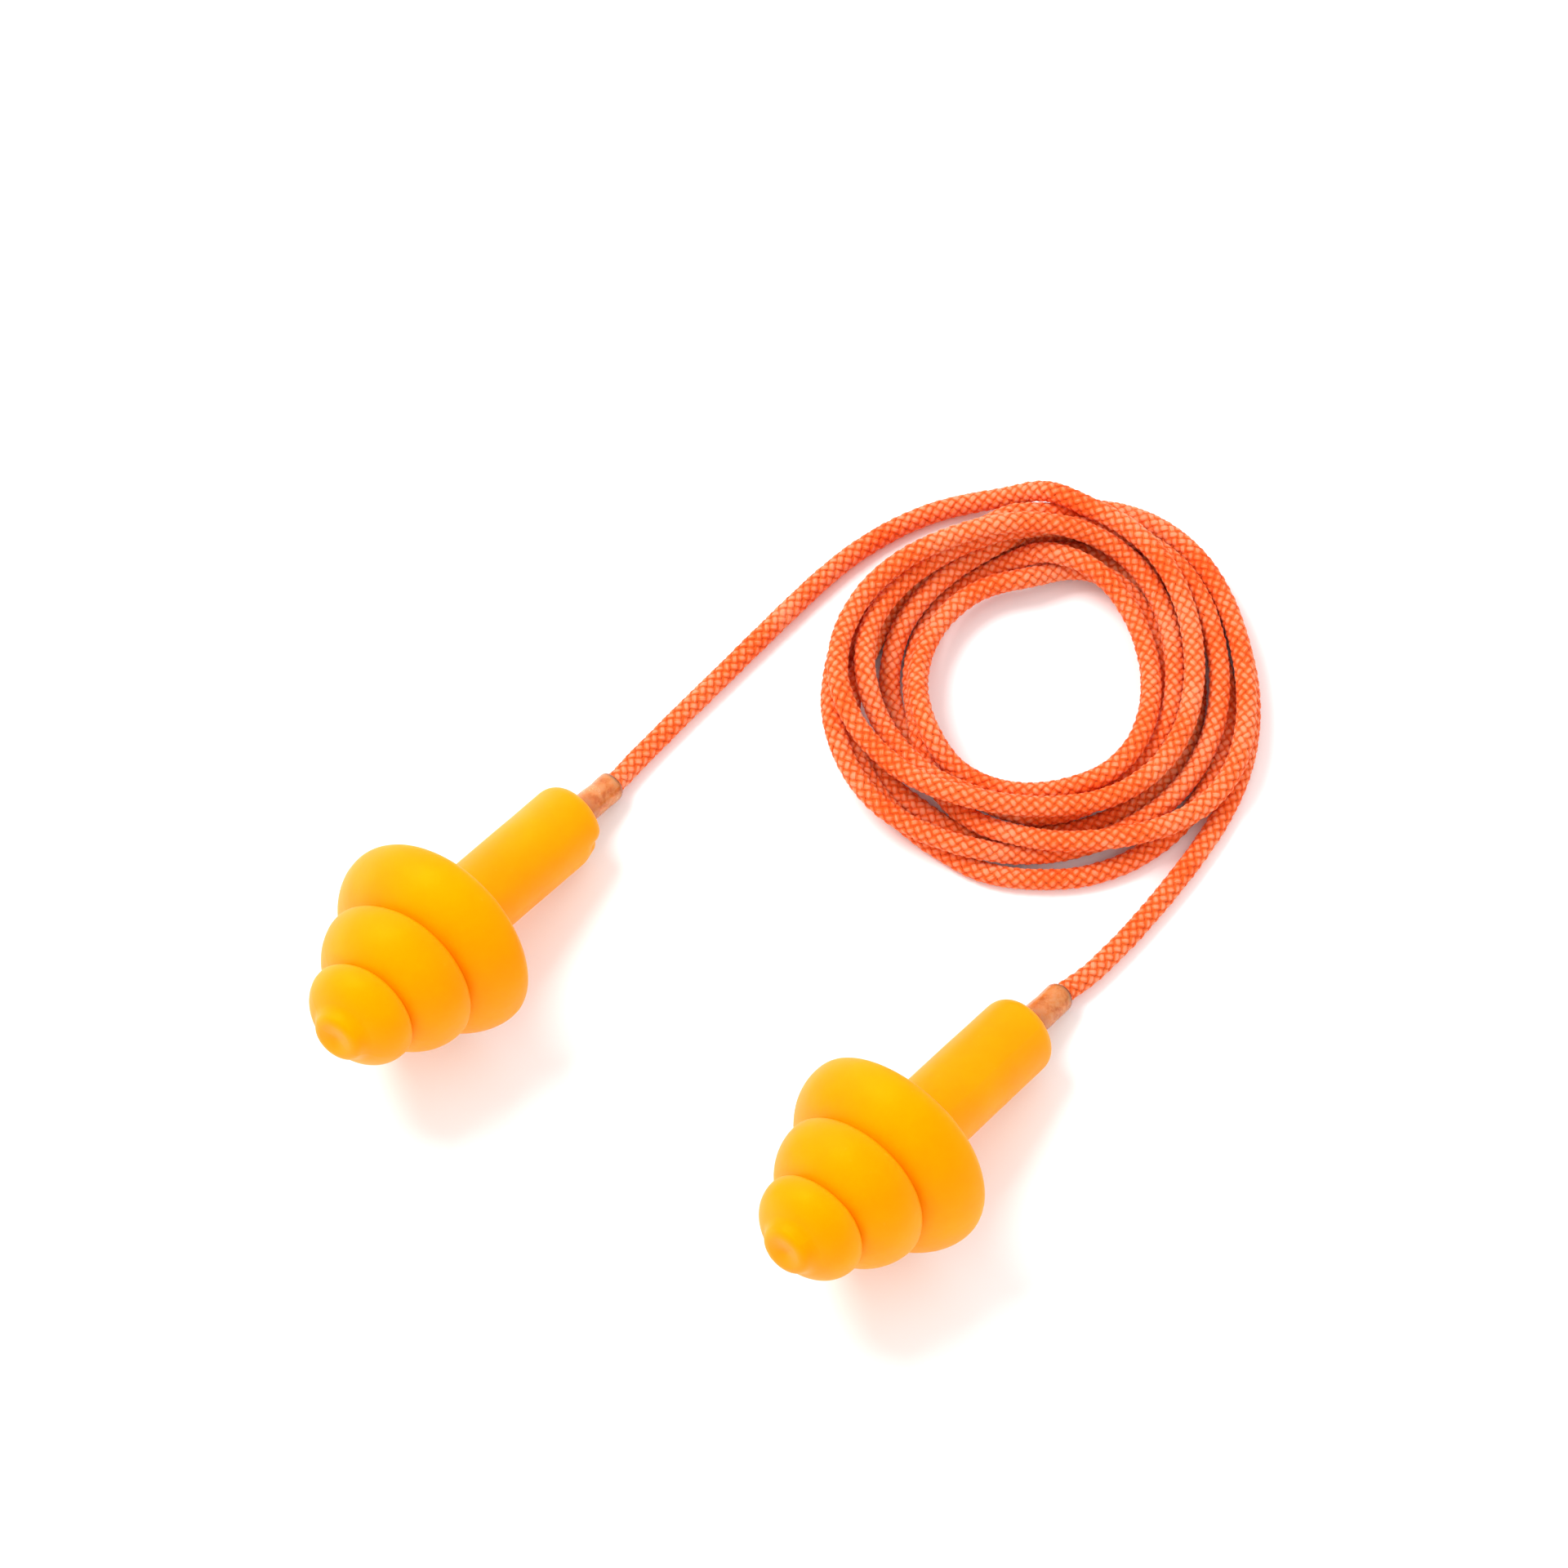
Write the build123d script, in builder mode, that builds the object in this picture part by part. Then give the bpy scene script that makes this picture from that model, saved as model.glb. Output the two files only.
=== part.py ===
from build123d import *
from math import sqrt
import os

# Corded ear plugs: two three-flange elastomer plugs joined by a braided cord
# that lies coiled between them. Millimetres, +Z up, table plane at Z = 0,
# origin under the middle of the object. The noses point to -X -Y and up.

os.makedirs("parts", exist_ok=True)

# ---- plug dimensions, stations measured along its axis from the nose ----
NOSE_FLAT_R = 1.30
NOSE_DIMPLE_R = 1.50      # sphere that presses a shallow dimple in the nose
NOSE_DIMPLE_OFFSET = 1.38 # its centre, ahead of the nose
CORE_1_R = 1.90           # core between the first and second flanges
CORE_2_R = 2.60           # core between the second and third flanges
ROOT_R = 2.62             # stem's root, in the hollow behind the third skirt
STEM_R = 2.50
STEM_BEND_STATION = 10.45 # where the stem leaves the head
PLUG_LENGTH = 23.10
STEM_LENGTH = PLUG_LENGTH - STEM_BEND_STATION
STEM_END_ROUND = 0.95
SOCKET_R = 0.97           # blind socket for the sleeve
SOCKET_DEPTH = 5.40

# Half-outline of each skirt, nose to stem, as (station, radius) points:
# foot of the front, pull of the front, station of the shoulder pull (at rim radius),
# rim, lip, pull of the undercut, root of the undercut
SKIRTS = [
    ((0, NOSE_FLAT_R), (0, 2.60), 1.55,
     (2.35, 3.42), (2.85, 2.90), (2.75, 2.35), (2.20, CORE_1_R)),
    ((2.75, CORE_1_R), (3.10, 3.90), 4.83,
     (6.05, 4.98), (6.60, 4.40), (6.50, 3.40), (5.60, CORE_2_R)),
    ((6.30, CORE_2_R), (6.75, 5.30), 8.60,
     (9.85, 6.55), (10.60, 5.85), (10.30, 3.90), (8.90, ROOT_R)),
]

# ---- sleeve on each cord end --------------------------------------------
SLEEVE_R = 0.95
SLEEVE_BORE_R = 0.66
SLEEVE_IN = 5.00          # length inside the socket
SLEEVE_OUT = 3.70         # length in sight
SLEEVE_EDGE = 0.08

# ---- cord ---------------------------------------------------------------
CORD_R = 0.62             # braided cover
COVER_BORE_R = 0.42
CORE_YARN_R = 0.40
CORD_IN_SLEEVE = 8.00
CORD_START = SLEEVE_OUT - CORD_IN_SLEEVE   # from the stem's end, along its axis
CUT_GAP = 0.03            # half the gap where the cord turns in the sleeve's mouth
CORE_STICKOUT = 0.45      # core past the centre of a rounded cover end
BORE_PAST_ROUND = 0.70    # bore past the centre of a rounded cover end
BORE_PAST_CUT = 0.05      # bore past a square-cut cover end
TIP_R = 0.60              # melted tip of the cord
TIP_LENGTH = 0.60
TIP_EDGE = 0.20
TIP_GAP = 0.03
STRAIGHT_LIMIT = 1e-7     # 1 - cosine of the turn below which an interval is a line

# ---- placement: nose point, head axis and stem axis (both nose to stem) --
RIGHT_AXIS = (0.612040, 0.726821, -0.311672)
PLUG_PLACES = {
    "left": ((-26.677200, -12.775500, 9.354300),
             (0.542286, 0.780248, -0.311672),
             (0.606951, 0.731076, -0.311672)),
    "right": ((-0.387900, -26.111700, 9.354300), RIGHT_AXIS, RIGHT_AXIS),
}

# Cord centreline (x, y, z), piece by piece, from the left sleeve to the right one
LEFT_LEAD_C_PATH = [
    (-11.068, 7.353, 0.992), (-9.952, 8.759, 0.747), (-8.772, 10.139, 0.672), (-7.562, 11.496, 0.656),
    (-6.343, 12.844, 0.651),
]
LEFT_LEAD_B_PATH = [
    (-5.399, 13.878, 0.650), (-4.027, 15.378, 0.650), (-2.658, 16.881, 0.650), (-1.288, 18.384, 0.650),
]
LEFT_LEAD_A_PATH = [
    (-0.341, 19.416, 0.650), (0.592, 20.414, 0.650), (1.547, 21.392, 0.650), (2.536, 22.334, 0.650),
]
COIL_PATH = [
    (3.596, 23.248, 0.650), (6.049, 24.963, 0.653), (8.754, 26.240, 0.679), (11.654, 26.864, 0.972),
    (14.399, 26.870, 2.142), (16.885, 25.934, 3.423), (19.496, 24.480, 3.582), (21.825, 22.615, 3.511),
    (23.457, 20.129, 3.276), (24.346, 17.303, 2.889), (24.549, 14.323, 2.805), (24.103, 11.368, 2.772),
    (22.839, 8.668, 2.709), (20.723, 6.571, 2.774), (18.046, 5.284, 3.029), (15.109, 4.835, 3.363),
    (12.165, 4.865, 3.892), (9.280, 5.511, 4.129), (6.705, 6.981, 3.757), (4.582, 9.069, 3.585),
    (3.076, 11.583, 4.098), (2.679, 14.509, 3.804), (3.374, 17.394, 3.586), (5.049, 19.834, 3.906),
    (7.434, 21.594, 4.263), (10.180, 22.734, 4.583), (13.089, 23.365, 4.837), (16.013, 23.601, 4.275),
    (18.762, 23.216, 3.184), (21.152, 21.708, 2.298), (22.671, 19.164, 2.012), (23.355, 16.259, 1.900),
    (23.348, 13.270, 1.876), (22.542, 10.400, 1.813), (20.831, 7.957, 1.723), (18.485, 6.116, 1.587),
    (15.723, 5.023, 1.836), (12.800, 5.110, 2.312), (10.073, 6.084, 3.016), (7.569, 7.693, 2.893),
    (5.804, 10.069, 2.499), (4.622, 12.769, 2.895), (4.370, 15.720, 2.896), (5.333, 18.525, 2.806),
    (7.281, 20.782, 2.922), (9.771, 22.423, 3.100), (12.561, 23.443, 3.442), (15.453, 24.053, 3.039),
    (18.346, 24.317, 2.335), (21.230, 23.631, 2.183), (23.581, 21.814, 2.329), (25.129, 19.265, 2.357),
    (25.941, 16.396, 2.140), (26.102, 13.415, 1.988), (25.577, 10.480, 1.815), (24.246, 7.821, 1.544),
    (22.245, 5.609, 1.415), (19.728, 4.003, 1.293), (16.906, 3.032, 1.131), (13.939, 2.683, 1.087),
    (11.045, 2.732, 1.830), (8.197, 3.567, 2.089), (5.617, 5.043, 2.379), (3.651, 7.246, 2.770),
    (2.543, 10.007, 2.991), (2.307, 12.960, 2.688), (2.774, 15.870, 2.180), (3.899, 18.633, 2.069),
    (5.763, 20.965, 2.034), (8.168, 22.738, 1.987), (10.847, 24.077, 1.964), (13.556, 25.286, 2.280),
    (16.511, 25.537, 2.055), (19.488, 25.652, 1.969), (22.308, 24.700, 1.970), (24.601, 22.794, 1.984),
    (26.201, 20.273, 2.006), (27.192, 17.451, 2.034), (27.675, 14.498, 2.037), (27.688, 11.505, 2.044),
    (27.047, 8.589, 2.036), (25.453, 6.078, 1.949), (23.041, 4.336, 2.101), (20.253, 3.305, 2.426),
    (17.296, 2.906, 2.534), (14.326, 3.203, 2.387), (11.487, 4.106, 2.248), (9.384, 6.102, 1.587),
    (8.011, 8.708, 1.865), (7.519, 11.605, 1.729), (7.330, 14.480, 0.924), (7.823, 17.408, 0.683),
    (9.333, 19.973, 0.672), (11.709, 21.751, 0.861), (14.336, 22.486, 2.030), (17.118, 22.040, 2.772),
    (19.548, 20.358, 2.516), (21.133, 17.907, 1.914), (21.858, 15.020, 1.873), (21.756, 12.077, 2.364),
    (20.835, 9.291, 2.878), (18.770, 7.181, 2.828), (15.953, 6.379, 2.323), (12.985, 6.462, 2.079),
    (10.233, 7.557, 2.321), (8.384, 9.655, 3.288), (7.624, 12.471, 2.915), (7.838, 15.348, 2.163),
    (9.032, 18.056, 1.828), (11.170, 20.117, 1.689), (14.001, 21.013, 1.843), (16.822, 21.873, 1.386),
    (19.676, 21.203, 1.346), (21.683, 19.058, 0.942), (22.630, 16.252, 0.676), (22.621, 13.266, 0.653),
    (21.665, 10.445, 0.650), (19.699, 8.208, 0.650), (17.082, 6.781, 0.650), (14.129, 6.416, 0.650),
    (11.236, 7.133, 0.650), (8.809, 8.867, 0.650), (6.789, 11.066, 0.650), (5.932, 13.911, 0.699),
    (6.261, 16.829, 1.164), (7.662, 19.406, 1.674), (9.776, 21.511, 1.850), (12.266, 23.158, 2.033),
    (14.807, 24.437, 1.342), (17.667, 24.771, 0.697), (20.503, 23.876, 0.655), (22.899, 22.095, 0.651),
    (24.707, 19.716, 0.650), (25.948, 16.996, 0.650), (26.556, 14.070, 0.650), (26.470, 11.081, 0.650),
    (25.685, 8.200, 0.650), (24.150, 5.637, 0.650), (22.063, 3.498, 0.650), (19.486, 1.990, 0.650),
    (16.593, 1.254, 0.650), (13.601, 1.272, 0.650), (10.732, 2.064, 0.649), (8.216, 3.685, 0.697),
    (5.945, 5.585, 1.104), (4.221, 7.960, 1.648), (3.413, 10.799, 2.000), (3.742, 13.749, 1.832),
    (4.655, 16.503, 1.092), (5.961, 19.156, 0.703), (7.968, 21.363, 0.659), (10.521, 22.915, 0.651),
    (13.432, 23.411, 0.637), (16.392, 23.278, 0.965), (19.297, 22.845, 0.722), (21.765, 21.175, 0.658),
    (23.554, 18.786, 0.661), (24.575, 15.983, 0.651), (24.693, 12.998, 0.650), (24.030, 10.087, 0.650),
    (22.481, 7.541, 0.650), (20.156, 5.675, 0.650), (17.402, 4.521, 0.650), (14.437, 4.138, 0.650),
    (11.444, 4.213, 0.650), (8.639, 5.149, 0.650), (6.325, 7.049, 0.650), (4.476, 9.393, 0.650),
    (3.286, 12.135, 0.650), (3.023, 15.098, 0.650), (3.734, 17.998, 0.650), (5.200, 20.600, 0.650),
    (7.316, 22.707, 0.650), (9.874, 24.258, 0.650), (12.656, 25.359, 0.650), (15.547, 26.138, 0.650),
    (18.532, 26.298, 0.650), (21.451, 25.676, 0.650), (23.993, 24.123, 0.650), (25.853, 21.791, 0.650),
    (27.030, 19.043, 0.650), (27.746, 16.136, 0.650), (28.052, 13.160, 0.650), (27.788, 10.180, 0.650),
    (26.950, 7.309, 0.650), (25.617, 4.630, 0.650), (23.959, 2.137, 0.650),
]
RIGHT_LEAD_A_PATH = [
    (23.130, 1.009, 0.650), (22.767, 0.530, 0.650), (22.401, 0.055, 0.650), (22.030, -0.416, 0.651),
]
RIGHT_LEAD_B_PATH = [
    (21.148, -1.504, 0.651), (20.784, -1.938, 0.652), (20.415, -2.368, 0.654), (20.041, -2.793, 0.655),
]
RIGHT_LEAD_C_PATH = [
    (19.090, -3.821, 0.663), (18.120, -4.816, 0.700), (17.072, -5.724, 0.770), (16.033, -6.611, 0.992),
]

# path of each cord piece, and whether its start and its end are rounded;
# the ends that meet a sleeve are cut square
CORD_PIECES = {
    "left_lead_c": (LEFT_LEAD_C_PATH, (False, True)),
    "left_lead_b": (LEFT_LEAD_B_PATH, (True, True)),
    "left_lead_a": (LEFT_LEAD_A_PATH, (True, True)),
    "coil": (COIL_PATH, (True, True)),
    "right_lead_a": (RIGHT_LEAD_A_PATH, (True, True)),
    "right_lead_b": (RIGHT_LEAD_B_PATH, (True, True)),
    "right_lead_c": (RIGHT_LEAD_C_PATH, (True, False)),
}


def save(builder, name):
    builder.part.label = name
    export_step(builder.part, f"parts/{name}.step")


# ---- plug ---------------------------------------------------------------
def profile_plane(origin, axis):
    """upright plane through axis; its x is the station, its y the radius"""
    return Plane(origin=origin, x_dir=axis, z_dir=axis.cross(Vector(0, 0, 1)).normalized())


def draw_stem_outline(start, end):
    """stem side, rounded end, and the way back along the axis to station 0"""
    Line((start, STEM_R), (end - STEM_END_ROUND, STEM_R))
    Bezier((end - STEM_END_ROUND, STEM_R), (end, STEM_R), (end, STEM_R - STEM_END_ROUND))
    Line((end, STEM_R - STEM_END_ROUND), (end, 0))
    Line((end, 0), (0, 0))


def plug(nose, head, stem):
    """head and stem in one revolve if in line, else two revolves joined by a ball"""
    bend = nose + head * STEM_BEND_STATION
    straight = head == stem
    with BuildPart() as body:
        with BuildSketch(profile_plane(nose, head)):
            with BuildLine():
                previous = (0, 0)
                for foot, front_pull, shoulder, rim, lip, undercut_pull, root in SKIRTS:
                    rim_radius = rim[1]
                    Line(previous, foot)
                    Bezier(foot, front_pull, (shoulder, rim_radius), rim)
                    Bezier(rim, (lip[0], rim_radius), lip)
                    Bezier(lip, undercut_pull, root)
                    previous = root
                Line(previous, (STEM_BEND_STATION, STEM_R))
                if straight:
                    draw_stem_outline(STEM_BEND_STATION, PLUG_LENGTH)
                else:
                    Line((STEM_BEND_STATION, STEM_R), (STEM_BEND_STATION, 0))
                    Line((STEM_BEND_STATION, 0), (0, 0))
            make_face()
        revolve(axis=Axis(nose, head))
        if not straight:
            # ball that rounds the knee between head and stem
            with Locations(bend):
                Sphere(STEM_R)
            with BuildSketch(profile_plane(bend, stem)):
                with BuildLine():
                    Line((0, 0), (0, STEM_R))
                    draw_stem_outline(0, STEM_LENGTH)
                make_face()
            revolve(axis=Axis(bend, stem))
        # shallow dimple in the nose
        with Locations(nose - head * NOSE_DIMPLE_OFFSET):
            Sphere(NOSE_DIMPLE_R, mode=Mode.SUBTRACT)
        # blind socket for the sleeve
        with BuildSketch(Plane(origin=bend + stem * STEM_LENGTH, z_dir=-stem)):
            Circle(SOCKET_R)
        extrude(amount=SOCKET_DEPTH, mode=Mode.SUBTRACT)
    return body


# ---- sleeve and what it holds; stem_end is the stem's end face centre ----
def sleeve(stem_end, axis):
    with BuildPart() as tube:
        with BuildSketch(Plane(origin=stem_end - axis * SLEEVE_IN, z_dir=axis)):
            Circle(SLEEVE_R)
            Circle(SLEEVE_BORE_R, mode=Mode.SUBTRACT)
        extrude(amount=SLEEVE_IN + SLEEVE_OUT)
        fillet(tube.edges().filter_by(GeomType.CIRCLE), SLEEVE_EDGE)
    return tube


def melted_tip(stem_end, axis):
    with BuildPart() as tip:
        with BuildSketch(Plane(origin=stem_end + axis * (CORD_START - TIP_GAP), z_dir=-axis)):
            Circle(TIP_R)
        extrude(amount=TIP_LENGTH)
        fillet(tip.edges().filter_by(GeomType.CIRCLE), TIP_EDGE)
    return tip


def cord_end(stem_end, axis):
    """cover and core of the straight length in a sleeve, cut square at the sleeve's mouth"""
    start = Plane(origin=stem_end + axis * CORD_START, z_dir=axis)
    with BuildPart() as cover:
        with BuildSketch(start):
            Circle(CORD_R)
            Circle(COVER_BORE_R, mode=Mode.SUBTRACT)
        extrude(amount=CORD_IN_SLEEVE - CUT_GAP)
    with BuildPart() as core:
        with BuildSketch(start):
            Circle(CORE_YARN_R)
        extrude(amount=CORD_IN_SLEEVE - CUT_GAP)
    return cover, core


# ---- cord ---------------------------------------------------------------
def path_tangents(points):
    """unit tangents: three-point differences at the ends, neighbour to neighbour between"""
    first = (points[1] * 4 - points[0] * 3 - points[2]).normalized()
    middle = [(after - before).normalized() for before, after in zip(points[:-2], points[2:])]
    last = (points[-1] * 3 - points[-2] * 4 + points[-3]).normalized()
    return [first, *middle, last]


def arc_joint(start, end, start_tangent, end_tangent, turn):
    """point and tangent where two equal-reach tangent arcs from start to end meet"""
    chord = end - start
    along = chord.dot(start_tangent + end_tangent)
    reach = (sqrt(along * along + 2 * turn * chord.dot(chord)) - along) / (2 * turn)
    joint = (start + end + (start_tangent - end_tangent) * reach) * 0.5
    tangent = ((end - end_tangent * reach) - (start + start_tangent * reach)).normalized()
    return joint, tangent


def rod(path, radius, extensions=(0, 0), balls=(False, False)):
    """round rod along path, with straight extensions or balls at its start and end"""
    points = [Vector(*point) for point in path]
    tangents = path_tangents(points)
    with BuildPart() as body:
        with BuildLine() as line:
            for start, end, start_tangent, end_tangent in zip(
                points[:-1], points[1:], tangents[:-1], tangents[1:]
            ):
                turn = 1 - start_tangent.dot(end_tangent)
                if turn < STRAIGHT_LIMIT:
                    Line(start, end)
                    continue
                joint, joint_tangent = arc_joint(start, end, start_tangent, end_tangent, turn)
                TangentArc(start, joint, tangent=start_tangent)
                TangentArc(joint, end, tangent=joint_tangent)
        with BuildSketch(Plane(origin=points[0], z_dir=tangents[0])):
            Circle(radius)
        sweep(path=line.wire())
        ends = (points[0], points[-1])
        outward = (-tangents[0], tangents[-1])
        for point, direction, length in zip(ends, outward, extensions):
            if length:
                with BuildSketch(Plane(origin=point, z_dir=direction)):
                    Circle(radius)
                extrude(amount=length)
        for point, ball in zip(ends, balls):
            if ball:
                with Locations(point):
                    Sphere(radius)
    return body


def cord(path, rounded):
    """cover and core of one piece of cord; the bore runs out through both cover ends"""
    bore_extensions = [BORE_PAST_ROUND if ball else BORE_PAST_CUT for ball in rounded]
    core_extensions = [CORE_STICKOUT if ball else 0 for ball in rounded]
    outer = rod(path, CORD_R, balls=rounded)
    bore = rod(path, COVER_BORE_R, bore_extensions)
    core = rod(path, CORE_YARN_R, core_extensions)
    with BuildPart() as cover:
        add(outer.part)
        add(bore.part, mode=Mode.SUBTRACT)
    return cover, core


# ---- build and export ---------------------------------------------------
for side, place in PLUG_PLACES.items():
    nose, head, stem = [Vector(*values) for values in place]
    stem_end = nose + head * STEM_BEND_STATION + stem * STEM_LENGTH
    save(plug(nose, head, stem), f"{side}_plug")
    save(sleeve(stem_end, stem), f"{side}_sleeve")
    save(melted_tip(stem_end, stem), f"{side}_cord_tip")
    end_cover, end_core = cord_end(stem_end, stem)
    save(end_cover, f"{side}_end_cover")
    save(end_core, f"{side}_end_core")

for name, (path, rounded) in CORD_PIECES.items():
    cover, core = cord(path, rounded)
    save(cover, f"{name}_cover")
    save(core, f"{name}_core")
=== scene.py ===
"""A pair of soft plugs with three skirts each, joined by a loosely coiled braided cord.

The floor is z = 0, in mm until a mesh is made. Both plugs lean nose up towards -y; their
stems run down towards +y, where a clear sleeve leads the cord out to the coil.
"""
import bpy, bmesh, math
import numpy as np
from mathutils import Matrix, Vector


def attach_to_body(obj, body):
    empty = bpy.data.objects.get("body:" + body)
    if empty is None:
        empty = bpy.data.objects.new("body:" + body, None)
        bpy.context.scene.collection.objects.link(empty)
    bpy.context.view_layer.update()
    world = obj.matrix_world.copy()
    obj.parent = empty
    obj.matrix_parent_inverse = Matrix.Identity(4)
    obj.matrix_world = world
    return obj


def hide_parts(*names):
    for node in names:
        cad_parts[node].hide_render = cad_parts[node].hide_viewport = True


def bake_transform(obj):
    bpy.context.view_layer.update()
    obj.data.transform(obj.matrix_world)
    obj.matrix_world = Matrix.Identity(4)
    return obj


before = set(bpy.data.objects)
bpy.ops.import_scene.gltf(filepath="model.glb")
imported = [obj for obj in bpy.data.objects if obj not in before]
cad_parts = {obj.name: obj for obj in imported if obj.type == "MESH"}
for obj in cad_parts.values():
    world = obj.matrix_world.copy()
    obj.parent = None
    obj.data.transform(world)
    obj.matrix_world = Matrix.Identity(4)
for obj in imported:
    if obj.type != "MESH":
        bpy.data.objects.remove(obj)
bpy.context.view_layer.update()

MM = 0.001

# ---------------------------------------------------------------- layout (mm)
# nose: tip of the plug; head, stem: axes before and after the knee, pointing to the cord;
# mouth: where the cord leaves the sleeve; nick: torn patch at the stem end
SIDES = {
    "left": dict(
        nose=(-26.677200, -12.775500, 9.354300), head=(0.542286, 0.780248, -0.311672),
        stem=(0.606951, 0.731076, -0.311672), mouth=(-11.086600, 7.331200, 1.001500),
        colour_seed=1, plug_seed=3, sleeve_seed=5,
        nick=dict(angle=0.12, station=22.75, depth=0.34)),
    "right": dict(
        nose=(-0.387900, -26.111700, 9.354300), head=(0.612040, 0.726821, -0.311672),
        stem=(0.612040, 0.726821, -0.311672), mouth=(16.014800, -6.632900, 1.001500),
        colour_seed=2, plug_seed=8, sleeve_seed=9, nick=None),
}
CORD_LENGTH = 590.8
# hinges of the cord's free leads, as distances along the cord from the sleeve mouth
HINGE_LEFT = dict(bend=8.0, swing=15.5, lift=21.0)
HINGE_RIGHT = dict(bend=4.9, swing=8.0, lift=11.2)
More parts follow.
